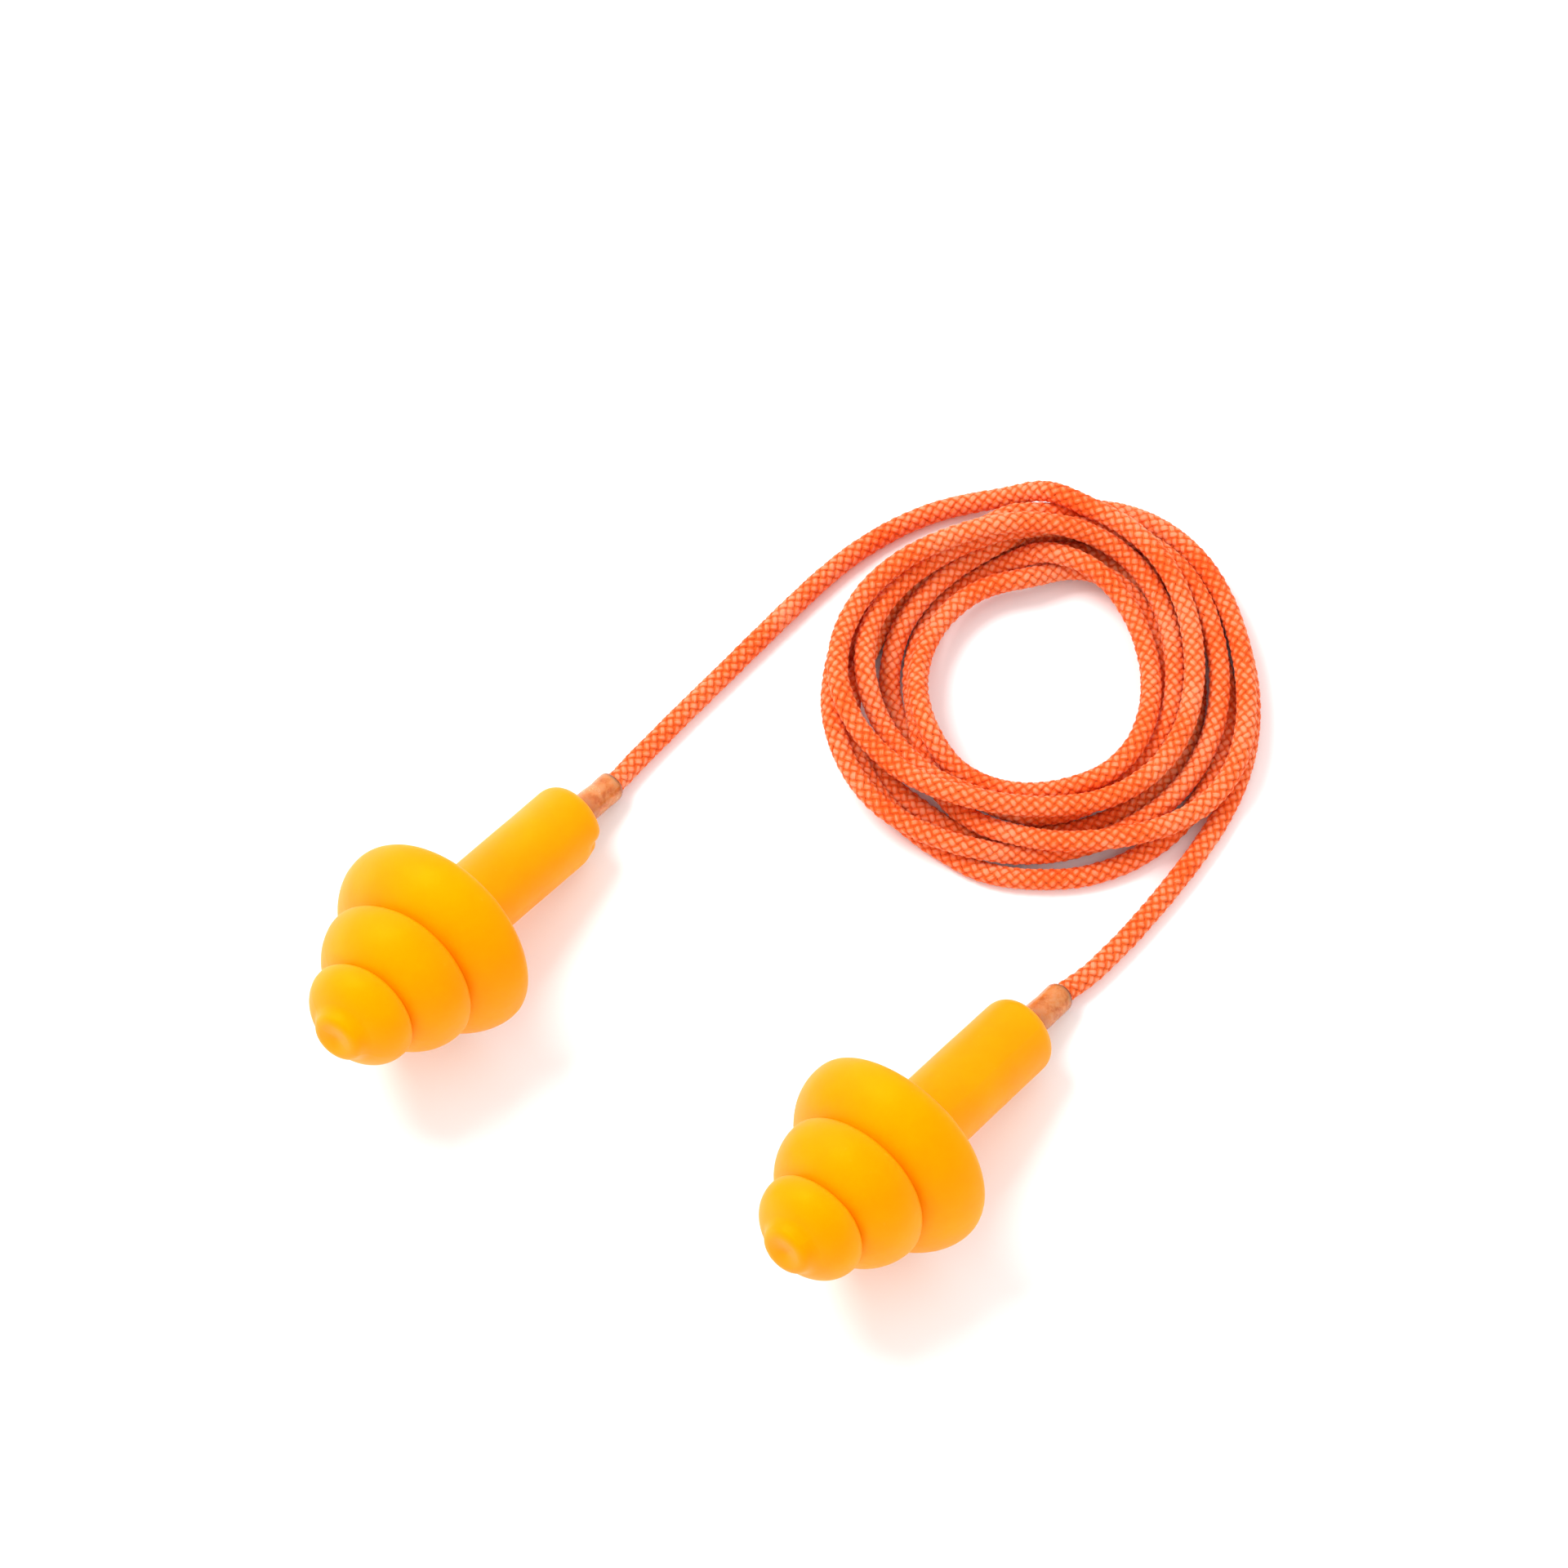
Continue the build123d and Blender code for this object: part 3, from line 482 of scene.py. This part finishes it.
def plug_ring(station, radius, angle, seed, nick, broad_noise, fine_noise):
    """Radii and shifts along the axis round one ring, with the moulding's unevenness."""
    radii, shift = np.full(PLUG_SIDES, radius), np.zeros(PLUG_SIDES)
    in_socket = station > PLUG_LENGTH - SOCKET_DEPTH - 0.1 and radius < 1.2
    if in_socket or radius <= 0.3:
        return radii, shift
    local = np.c_[np.cos(angle) * radius, np.sin(angle) * radius, np.full(PLUG_SIDES, station)]
    calm = np.clip((station + 0.5) / 2.0, 0.35, 1)
    swell = 0.085 if station < 11.0 else 0.045
    radii = (radius + swell * calm * broad_noise(local, 0.16) * min(1, radius / 3.0)
             + 0.018 * fine_noise(local, 0.55))
    # the soft skirt rims wave a little fore and aft
    for rim_station, rim_radius, wave in SKIRT_RIMS:
        weight = (math.exp(-((station - rim_station) / 0.8) ** 2)
                  * np.clip((radius - rim_radius * 0.55) / (rim_radius * 0.45), 0, 1))
        shift += weight * wave * (np.sin(2 * angle + seed) + 0.6 * np.sin(3 * angle + 2.1 * seed))
    # mould parting line, two faint seams
    for seam in (0.35 + seed, 0.35 + seed + math.pi):
        away = angle_from(angle, seam)
        radii += 0.018 * np.exp(-(away * max(radius, 0.5) / 0.10) ** 2)
    # the stem end is cut a little unevenly
    if station > PLUG_LENGTH - 1.6:
        shift += 0.06 * np.sin(angle + 1.3 * seed) + 0.03 * np.sin(2 * angle)
    if nick is not None and radius > 1.4:
        away = angle_from(angle, nick["angle"])
        torn = np.exp(-(away * max(radius, 1.6) / 1.05) ** 4
                      - ((station - nick["station"]) / 0.95) ** 4)
        radii -= nick["depth"] * torn * (1 + 0.45 * fine_noise(local, 2.1))
    return radii, shift


def build_plug(name, spec):
    seed = spec["plug_seed"]
    noises = Noise3(seed), Noise3(seed + 50)
    angle = np.linspace(0, 2 * np.pi, PLUG_SIDES, endpoint=False)
    profile = plug_profile()
    verts = []
    for station, radius in profile:
        centre, axis, across = plug_axis(spec, station)
        radii, shift = plug_ring(station, radius, angle, seed, spec["nick"], *noises)
        radial = spokes(angle, across, np.cross(axis, across))
        verts.append(centre + radial * radii[:, None] + axis * shift[:, None])
    ob = new_mesh(name, np.vstack(verts), capped_tube(len(profile), PLUG_SIDES))
    face_outward(ob.data)
    shade_smooth(ob.data)
    subdivision = ob.modifiers.new("sub", "SUBSURF")
    subdivision.levels = 1
    subdivision.render_levels = 1
    return ob


for side, spec in SIDES.items():
    plug = build_plug("plug_%s_moulding" % side, spec)
    plug.data.materials.append(MAT_PLUG[side])
    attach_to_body(plug, side + "_plug")
    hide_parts(side + "_plug")

# ---------------------------------------------------------------- sleeves
SLEEVE_OUTER, SLEEVE_INNER, SLEEVE_LENGTH = 0.95, 0.675, 8.7
SLEEVE_SIDES = 48


def sleeve_profile():
    """Closed (z, radius) section: outside, mouth at z = 0, then back along the bore."""
    outer, inner, length = SLEEVE_OUTER, SLEEVE_INNER, SLEEVE_LENGTH
    return (
        [(-length, inner), (-length, outer - 0.06), (-length + 0.06, outer)]
        + [(z, outer) for z in np.linspace(-length + 0.5, -0.32, 22)]
        + [(-0.16, outer + 0.005), (-0.05, outer - 0.03), (0.0, outer - 0.10),
           (0.02, (outer + inner) / 2), (0.0, inner + 0.05), (-0.05, inner)]
        + [(z, inner) for z in np.linspace(-0.3, -length + 0.3, 14)])


def build_sleeve(name, spec):
    mouth, axis, seed = np.array(spec["mouth"]), unit(spec["stem"]), spec["sleeve_seed"]
    across = level_across(axis)
    angle = np.linspace(0, 2 * np.pi, SLEEVE_SIDES, endpoint=False)
    radial = spokes(angle, across, np.cross(axis, across))
    noise = Noise3(seed)
    profile = sleeve_profile()
    verts, rim = [], []
    for z, radius in profile:
        radii = np.full(SLEEVE_SIDES, radius)
        if z > -3.6:
            local = np.c_[np.cos(angle) * radius, np.sin(angle) * radius,
                          np.full(SLEEVE_SIDES, z)]
            radii = radii + 0.030 * noise(local, 0.9)
            # crimp: the tube is pinched a little where it grips the cord
            if radius > 0.8:
                pinch = 0.035 * math.exp(-((z + 1.25) / 0.32) ** 2)
                radii -= pinch * (1 + 0.5 * np.cos(2 * angle + seed))
        # uneven cut at the mouth
        shift = ((0.07 * np.sin(angle + seed) + 0.035 * np.sin(3 * angle + 2 * seed))
                 * np.clip((z + 0.6) / 0.6, 0, 1))
        verts.append(mouth + axis * z + radial * radii[:, None] + axis * shift[:, None])
        # rim: strong at the cut mouth, faint about 2.9 mm back from it; the colour is darkened there
        rim.append(1.6 * math.exp(-((z + 0.02) / 0.13) ** 2)
                   + 0.3 * math.exp(-((z + 2.9) / 0.5) ** 2))
    faces = tube_quads(len(profile), SLEEVE_SIDES, wrap=True).tolist()
    ob = new_mesh(name, np.vstack(verts), faces)
    face_outward(ob.data)
    point_attribute(ob, "rim", np.repeat(rim, SLEEVE_SIDES))
    ob.data.materials.append(MAT_SLEEVE)
    return ob


for side, spec in SIDES.items():
    sleeve = build_sleeve("sleeve_" + side, spec)
    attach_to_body(sleeve, side + "_cord_end")
    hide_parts(side + "_sleeve")

# ---------------------------------------------------------------- cord line
STEP = 0.12
IN_SLEEVE = 8.0


def clamped_spline(knots, points, query, start_slope, end_slope):
    """Cubic spline through the points with given end slopes, evaluated at query."""
    count, gap = len(knots), np.diff(knots)
    slope = np.diff(points, axis=0) / gap[:, None]
    system, target = np.zeros((count, count)), np.zeros((count, 3))
    system[0, :2] = 2 * gap[0], gap[0]
    target[0] = 6 * (slope[0] - start_slope)
    for k in range(1, count - 1):
        system[k, k - 1:k + 2] = gap[k - 1], 2 * (gap[k - 1] + gap[k]), gap[k]
        target[k] = 6 * (slope[k] - slope[k - 1])
    system[-1, -2:] = gap[-1], 2 * gap[-1]
    target[-1] = 6 * (end_slope - slope[-1])
    curve = np.linalg.solve(system, target)
    k = np.clip(np.searchsorted(knots, query) - 1, 0, count - 2)
    to_next, past, width = (knots[k + 1] - query)[:, None], (query - knots[k])[:, None], gap[k][:, None]
    return ((curve[k] * to_next ** 3 + curve[k + 1] * past ** 3) / (6 * width)
            + (points[k] / width - curve[k] * width / 6) * to_next
            + (points[k + 1] / width - curve[k + 1] * width / 6) * past)


def running_length(points):
    return np.r_[0, np.cumsum(np.linalg.norm(np.diff(points, axis=0), axis=1))]


# STATION is the length from the left mouth; straight runs into the sleeves are added
LEFT_OUT, RIGHT_IN = unit(SIDES["left"]["stem"]), -unit(SIDES["right"]["stem"])
knots = running_length(CORD)
dense = clamped_spline(knots, CORD, np.linspace(0, knots[-1], 12001), LEFT_OUT, RIGHT_IN)
arc = running_length(dense)
arc *= CORD_LENGTH / arc[-1]
station_count = int(round((CORD_LENGTH + 2 * IN_SLEEVE) / STEP)) + 1
STATION = np.linspace(-IN_SLEEVE, CORD_LENGTH + IN_SLEEVE, station_count)
CENTRE = np.stack([np.interp(np.clip(STATION, 0, CORD_LENGTH), arc, dense[:, k])
                   for k in range(3)], -1)
CENTRE += np.minimum(STATION, 0)[:, None] * LEFT_OUT
CENTRE += np.maximum(STATION - CORD_LENGTH, 0)[:, None] * RIGHT_IN
TANGENT = np.gradient(CENTRE, axis=0)
TANGENT /= np.linalg.norm(TANGENT, axis=1)[:, None]
# ACROSS and THIRD are carried along the line without twisting
ACROSS = np.zeros_like(CENTRE)
ACROSS[0] = level_across(TANGENT[0])
for k in range(1, station_count):
    ACROSS[k] = unit(ACROSS[k - 1] - TANGENT[k] * (ACROSS[k - 1] @ TANGENT[k]))
THIRD = np.cross(TANGENT, ACROSS)


def nearest(station):
    return int(np.argmin(abs(STATION - station)))


# ---------------------------------------------------------------- braid and core
PITCH, CORD_RADIUS, YARNS_EACH_WAY = 4.38, 0.67, 6
WEAVE, YARN_THICKNESS, YARN_WIDTH = 0.062, 0.19, 0.445
BRAID_RADIUS = CORD_RADIUS - WEAVE - YARN_THICKNESS / 2
YARN_SECTION = np.radians([-14, 28, 66, 90, 114, 152, 194, 270])
jitter = np.random.RandomState(11)
WOBBLE_PHASE = jitter.uniform(0, 6.28, 2 * YARNS_EACH_WAY)
WOBBLE_SIZE = jitter.uniform(-0.035, 0.035, 2 * YARNS_EACH_WAY)
CORE_SIDES, CORE_RADIUS, CORE_LOBE, CORE_LOBES = 21, 0.375, 0.020, 7
CORE_TWIST = 0.35   # radians per mm


def build_braid(name, start, end):
    """Twelve yarns, six each way, one over and one under."""
    span = slice(nearest(start), nearest(end) + 1)
    station, across, third = STATION[span], ACROSS[span], THIRD[span]
    count, sides = len(station), len(YARN_SECTION)
    lay = math.atan2(2 * math.pi * BRAID_RADIUS, PITCH)
    top = np.clip(np.sin(YARN_SECTION), 0, 1) ** 2
    verts, uvs, painted_crown_light, faces = [], [], [], []
    for k in range(2 * YARNS_EACH_WAY):
        way = 1 if k < YARNS_EACH_WAY else -1
        wobble = WOBBLE_PHASE[k]
        height = way * np.cos(np.pi * (2 * YARNS_EACH_WAY * station / PITCH))
        height = np.sign(height) * np.abs(height) ** 0.7
        angle = (2 * np.pi * (k % YARNS_EACH_WAY) / YARNS_EACH_WAY
                 + way * 2 * np.pi * station / PITCH
                 + WOBBLE_SIZE[k] * np.sin(station * 0.9 + wobble))
        radius = BRAID_RADIUS + WEAVE * height + 0.012 * np.sin(station * 2.3 + wobble * 3)
        width = YARN_WIDTH * (1 + 0.06 * np.sin(station * 1.7 + wobble)) * (1 + 0.10 * height)
        radial = spokes(angle, across, third)
        around = -np.sin(angle)[:, None] * across + np.cos(angle)[:, None] * third
        # in the cord's surface, at right angles to the yarn
        sideways = around * math.cos(lay) - TANGENT[span] * math.sin(lay) * way
        middle = CENTRE[span] + radial * radius[:, None]
        ring = []
        for turn in YARN_SECTION:
            offset = math.cos(turn) * width / 2
            y = math.sin(turn)
            rise = y * YARN_THICKNESS / 2 if y > 0 else y * YARN_THICKNESS * 0.30
            # the flat yarn wraps round the cord: its edges drop towards the centre
            drop = offset ** 2 / (2 * CORD_RADIUS) * math.cos(lay) ** 2
            ring.append(middle + sideways * offset[:, None] + radial * (rise - drop)[:, None])
        verts.append(np.stack(ring, 1).reshape(-1, 3))
        # painted light per vertex: high on the outer crowns where a yarn passes over, low on its flanks
        # and where it passes under, which read as painted shade
        painted_crown_light.append((np.clip(0.5 + 0.5 * height, 0, 1)[:, None] * top).ravel())
        uvs.append(np.c_[np.repeat(station / math.cos(lay) + k * 7.3, sides),
                         np.tile(YARN_SECTION / (2 * np.pi) * 2.2 + k * 1.7, count)])
        faces.append(k * count * sides + tube_quads(count, sides)[:, ::-1])
    ob = new_mesh(name, np.vstack(verts), np.vstack(faces).tolist(), uv=np.vstack(uvs))
    point_attribute(ob, "painted_crown_light", np.concatenate(painted_crown_light))
    ob.data.materials.append(MAT_YARN)
    return ob


def build_core(name, start, end):
    """Lobed bundle inside the braid, on every third station and the last."""
    last = nearest(end)
    index = np.arange(nearest(start), last + 1, 3)
    if index[-1] != last:
        index = np.r_[index, last]
    station = STATION[index]
    around = np.linspace(0, 2 * np.pi, CORE_SIDES, endpoint=False)
    radius = CORE_RADIUS + CORE_LOBE * np.cos(CORE_LOBES * around)
    angle = around + (station * CORE_TWIST)[:, None]
    radial = spokes(angle, ACROSS[index][:, None], THIRD[index][:, None])
    verts = CENTRE[index][:, None] + radial * radius[:, None]
    uv = np.c_[np.repeat(station, CORE_SIDES), np.tile(around / 6.28 * 5, len(index))]
    ob = new_mesh(name, verts.reshape(-1, 3), capped_tube(len(index), CORE_SIDES), uv=uv)
    ob.data.materials.append(MAT_CORE)
    return ob


# ---------------------------------------------------------------- cord pieces
def attach(ob, body, joint, node):
    if joint is None:
        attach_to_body(ob, body)
    else:
        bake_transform(ob)
    if node:
        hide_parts(node)


def cord_piece(name, start, end, node, body=None, joint=None, parts=1):
    """Braid and core between two stations, riding a body, or baked in place where a joint is given.

    joint: first body, second body, hinge station, half the length that bends; its values are not used.
    """
    cuts = np.linspace(start, end, parts + 1)
    for k in range(parts):
        suffix = "_%d" % (k + 1) if parts > 1 else ""
        braid = build_braid("cord_%s_braid%s" % (name, suffix), cuts[k], cuts[k + 1])
        attach(braid, body, joint, node + "_cover" if k == 0 else None)
    attach(build_core("cord_%s_core" % name, start, end), body, joint,
           node + "_core")


def lead_cuts(hinge, tail):
    """Distances from the mouth: midway between hinges, then tail beyond the last."""
    return ((hinge["bend"] + hinge["swing"]) / 2, (hinge["swing"] + hinge["lift"]) / 2,
            hinge["lift"] + tail)


MOUTH_OVERLAP = 0.25   # the end pieces stop this far inside the sleeve mouths
cut_1, cut_2, cut_3 = lead_cuts(HINGE_LEFT, tail=2.9)
cord_piece("left_end", -IN_SLEEVE, -MOUTH_OVERLAP, "left_end", body="left_cord_end")
cord_piece("left_bend", -MOUTH_OVERLAP, cut_1, "left_lead_c",
           joint=("left_lead_c", "left_lead_b", HINGE_LEFT["bend"], 3.2))
cord_piece("left_swing", cut_1, cut_2, "left_lead_b",
           joint=("left_lead_b", "left_lead_a", HINGE_LEFT["swing"], 2.6))
cord_piece("left_lift", cut_2, cut_3, "left_lead_a",
           joint=("left_lead_a", "coil", HINGE_LEFT["lift"], 2.6))
coil_start = cut_3
cut_1, cut_2, cut_3 = (CORD_LENGTH - cut for cut in lead_cuts(HINGE_RIGHT, tail=1.6))
cord_piece("coil", coil_start, cut_3, "coil", body="coil", parts=8)
cord_piece("right_lift", cut_3, cut_2, "right_lead_a",
           joint=("coil", "right_lead_a", CORD_LENGTH - HINGE_RIGHT["lift"], 1.5))
cord_piece("right_swing", cut_2, cut_1, "right_lead_b",
           joint=("right_lead_a", "right_lead_b", CORD_LENGTH - HINGE_RIGHT["swing"], 1.5))
cord_piece("right_bend", cut_1, CORD_LENGTH + MOUTH_OVERLAP, "right_lead_c",
           joint=("right_lead_b", "right_lead_c", CORD_LENGTH - HINGE_RIGHT["bend"], 1.5))
cord_piece("right_end", CORD_LENGTH + MOUTH_OVERLAP, CORD_LENGTH + IN_SLEEVE, "right_end",
           body="right_cord_end")

for side in SIDES:
    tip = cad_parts[side + "_cord_tip"]
    tip.data.materials.clear()
    tip.data.materials.append(MAT_TIP)

# ---------------------------------------------------------------- floor, light, camera
FLOOR_HALF = 900
floor = new_mesh("floor", [(x * FLOOR_HALF, y * FLOOR_HALF, 0)
                           for x, y in ((-1, -1), (1, -1), (1, 1), (-1, 1))],
                 [(0, 1, 2, 3)], smooth=False)
floor_paint, _, surface = new_material("floor_paint")
feed(surface, {"Base Color": (0.93, 0.93, 0.93, 1), "Roughness": 0.9,
               "Specular IOR Level": 0.1})
floor.data.materials.append(floor_paint)

scene = bpy.context.scene
world = bpy.data.worlds.new("studio")
scene.world = world
world.use_nodes = True
feed(world.node_tree.nodes["Background"], {"Color": (1, 1, 1, 1), "Strength": 1.05})


def aim_at(ob, target):
    """Point the object's -Z axis at a target in metres."""
    ob.rotation_euler = (target - ob.location).to_track_quat("-Z", "Y").to_euler()


def area_light(name, location, target, size, power):
    light = bpy.data.lights.new(name, "AREA")
    light.shape = "DISK"
    light.size = size * MM
    light.energy = power
    ob = bpy.data.objects.new(name, light)
    scene.collection.objects.link(ob)
    ob.location = Vector(location) * MM
    aim_at(ob, Vector(target) * MM)


area_light("key", location=(-190, 120, 330), target=(0, -5, 0), size=190, power=1.25)
area_light("fill", location=(230, -160, 240), target=(0, 0, 0), size=260, power=0.15)

CAMERA_TARGET = Vector((-0.600, 7.900, 0)) * MM
CAMERA_RISE = math.radians(65)
CAMERA_DISTANCE = 0.400   # metres
lens = bpy.data.cameras.new("camera")
lens.lens = 150
lens.sensor_width = 36
lens.clip_start = 0.01
camera = bpy.data.objects.new("camera", lens)
scene.collection.objects.link(camera)
towards_camera = Vector((0, -math.cos(CAMERA_RISE), math.sin(CAMERA_RISE)))
camera.location = CAMERA_TARGET + towards_camera * CAMERA_DISTANCE
aim_at(camera, CAMERA_TARGET)
scene.camera = camera
scene.view_settings.view_transform = "Standard"
scene.view_settings.look = "None"
scene.view_settings.exposure = 0.0
